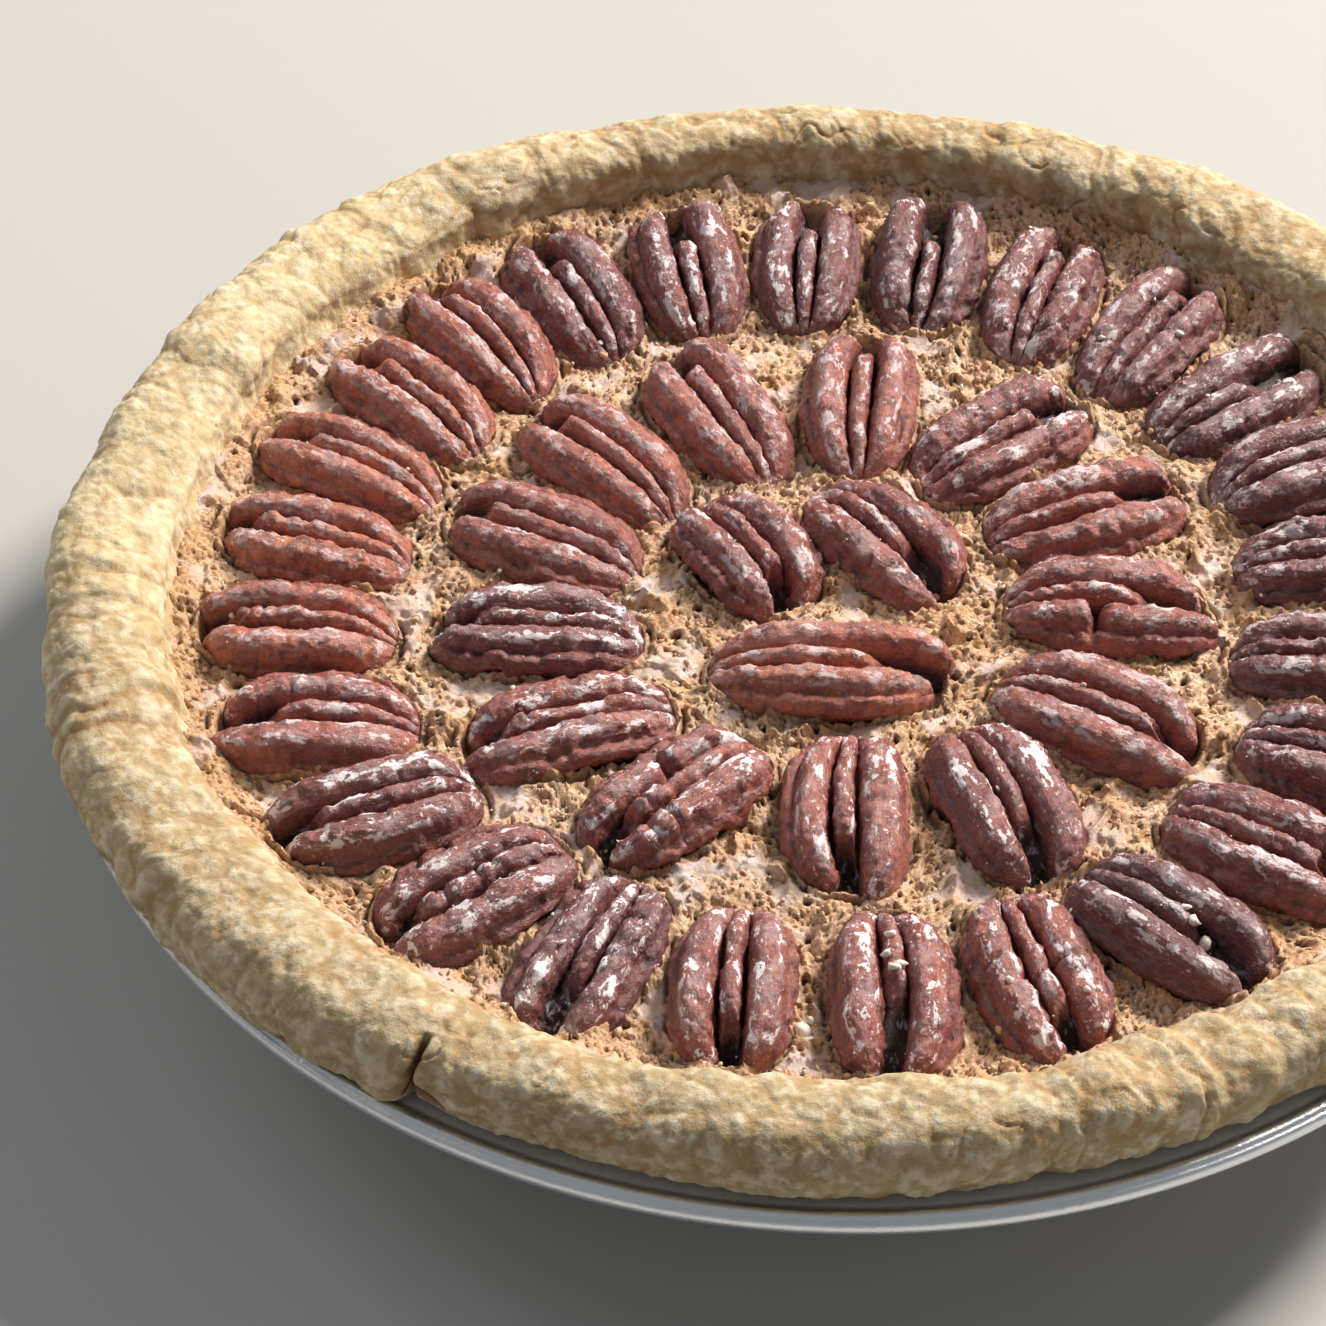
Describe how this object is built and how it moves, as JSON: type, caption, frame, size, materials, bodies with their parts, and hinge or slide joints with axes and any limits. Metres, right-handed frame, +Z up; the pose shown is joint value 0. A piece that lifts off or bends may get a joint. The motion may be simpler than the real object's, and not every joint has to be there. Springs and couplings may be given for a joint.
{
  "type": "pecan pie",
  "caption": "Whole baked pecan pie in its own round metal tin, with a rolled pastry rim and pecan halves laid in rings on the filling.",
  "frame": {"origin": "middle of the tin's flat underside", "axes": "+Z up along the pie's axis; -Y towards the rolled rim's open seam, which lies a little to the -X side of it"},
  "size_m": [0.236, 0.235, 0.0436],
  "materials": {
    "tin_metal": "dull grey sheet with a brighter rolled edge",
    "pastry": "dry baked pastry, pale cream mottled with golden brown",
    "filling": "porous golden caramel crumb with glossy patches",
    "pecan_skin": "dusty red-brown nut skin with pale bloom along the ridges"
  },
  "bodies": {
    "root": {"tin": "tin_metal", "crust": "pastry", "filling": "filling", "pecan_outer_01": "pecan_skin", "pecan_outer_02": "pecan_skin", "pecan_outer_03": "pecan_skin", "pecan_outer_04": "pecan_skin", "pecan_outer_05": "pecan_skin", "pecan_outer_06": "pecan_skin", "pecan_outer_07": "pecan_skin", "pecan_outer_08": "pecan_skin", "pecan_outer_09": "pecan_skin", "pecan_outer_10": "pecan_skin", "pecan_outer_11": "pecan_skin", "pecan_outer_12": "pecan_skin", "pecan_outer_13": "pecan_skin", "pecan_outer_14": "pecan_skin", "pecan_outer_15": "pecan_skin", "pecan_outer_16": "pecan_skin", "pecan_outer_17": "pecan_skin", "pecan_outer_18": "pecan_skin", "pecan_outer_19": "pecan_skin", "pecan_outer_20": "pecan_skin", "pecan_outer_21": "pecan_skin", "pecan_outer_22": "pecan_skin", "pecan_outer_23": "pecan_skin", "pecan_outer_24": "pecan_skin", "pecan_outer_25": "pecan_skin", "pecan_middle_01": "pecan_skin", "pecan_middle_02": "pecan_skin", "pecan_middle_03": "pecan_skin", "pecan_middle_04": "pecan_skin", "pecan_middle_05": "pecan_skin", "pecan_middle_06": "pecan_skin", "pecan_middle_07": "pecan_skin", "pecan_middle_08": "pecan_skin", "pecan_middle_09": "pecan_skin", "pecan_middle_10": "pecan_skin", "pecan_middle_11": "pecan_skin", "pecan_middle_12": "pecan_skin", "pecan_middle_13": "pecan_skin", "pecan_centre_01": "pecan_skin", "pecan_centre_02": "pecan_skin", "pecan_centre_03": "pecan_skin"}
  },
  "joints": []
}
